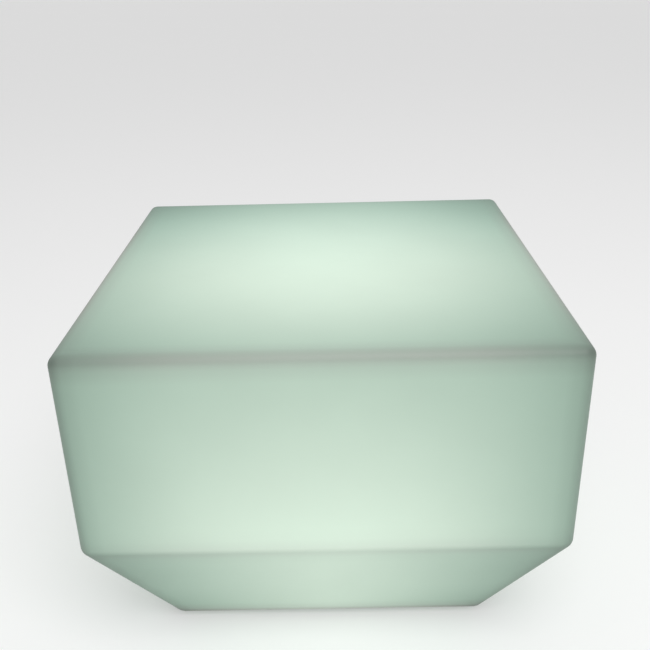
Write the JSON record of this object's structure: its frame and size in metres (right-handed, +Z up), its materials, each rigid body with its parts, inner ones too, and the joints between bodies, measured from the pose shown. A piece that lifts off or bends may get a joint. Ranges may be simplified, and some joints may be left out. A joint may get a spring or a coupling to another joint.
{
  "type": "light-up stool",
  "caption": "Cube-like moulded seat on an inverted pyramid base, lit from inside by a rechargeable lamp unit that hangs in a square pocket under the base.",
  "frame": {"origin": "on the floor at the foot soles, under the middle of the seat", "axes": "+Z up, front face towards -Y, +X to the right seen from the front"},
  "size_m": [0.54, 0.54, 0.406],
  "materials": {
    "glowing_polyethylene": "satin translucent polyethylene, lit from inside",
    "white_abs": "fine textured ABS",
    "opal_polycarbonate": "opal polycarbonate, lit from inside",
    "grey_silicone": "matt silicone",
    "black_rubber": "matt rubber",
    "plated_steel": "zinc-plated steel",
    "insert_brass": "machined brass",
    "white_solder_mask": "white solder mask on aluminium",
    "led_package": "phosphor-coated package, lit",
    "green_circuit_board": "green solder mask on glass-fibre laminate",
    "black_component": "moulded black plastic",
    "cell_sleeve": "shrink sleeve over a steel can",
    "aluminium_can": "drawn aluminium can",
    "nylon_connector": "natural nylon",
    "red_lead": "PVC insulation",
    "clear_acrylic": "clear acrylic"
  },
  "bodies": {
    "stool": {"shell": "glowing_polyethylene", "threaded_insert_1": "insert_brass", "threaded_insert_2": "insert_brass", "threaded_insert_3": "insert_brass", "threaded_insert_4": "insert_brass", "threaded_insert_5": "insert_brass", "threaded_insert_6": "insert_brass", "lamp_gasket": "grey_silicone", "lamp_housing": "white_abs", "lamp_screw_1": "plated_steel", "lamp_screw_2": "plated_steel", "lamp_screw_3": "plated_steel", "lamp_screw_4": "plated_steel", "lamp_screw_5": "plated_steel", "lamp_screw_6": "plated_steel", "diffuser_dome": "opal_polycarbonate", "led_board": "white_solder_mask", "led_board_screw_1": "plated_steel", "led_board_screw_2": "plated_steel", "led_board_screw_3": "plated_steel", "led_1": "led_package", "led_2": "led_package", "led_3": "led_package", "led_4": "led_package", "led_5": "led_package", "led_6": "led_package", "ir_receiver": "black_component", "battery_cell_1": "cell_sleeve", "battery_cell_2": "cell_sleeve", "battery_cell_3": "cell_sleeve", "battery_clamp": "white_abs", "clamp_screw_1": "plated_steel", "clamp_screw_2": "plated_steel", "controller_board": "green_circuit_board", "board_screw_1": "plated_steel", "board_screw_2": "plated_steel", "driver_chip": "black_component", "smoothing_capacitor": "aluminium_can", "battery_connector": "nylon_connector", "battery_lead": "red_lead", "led_lead": "red_lead", "push_switch": "black_component", "button_spring": "plated_steel", "button_seal": "black_rubber", "dc_jack": "black_component", "jack_pin": "plated_steel", "port_cover_anchor": "grey_silicone", "status_light_pipe": "clear_acrylic", "foot_1": "black_rubber", "foot_2": "black_rubber", "foot_3": "black_rubber", "foot_4": "black_rubber", "foot_screw_1": "plated_steel", "foot_screw_2": "plated_steel", "foot_screw_3": "plated_steel", "foot_screw_4": "plated_steel"},
    "power_button": {"button_cap": "grey_silicone", "switch_plunger": "black_component"},
    "socket_cover": {"port_cover": "grey_silicone"}
  },
  "joints": [
    {"name": "power_button_press", "type": "slide", "parent": "stool", "child": "power_button", "axis": [0, 0, 1], "range_m": [0, 0.002], "stiffness_N_per_m": 500, "springref_m": -0.0006, "deforming": ["button_spring"]},
    {"name": "socket_cover_hinge", "type": "hinge", "parent": "stool", "child": "socket_cover", "pos_m": [0.03234, -0.03315, 0.0227], "axis": [0, -1, 0], "range_deg": [0, 95]}
  ]
}
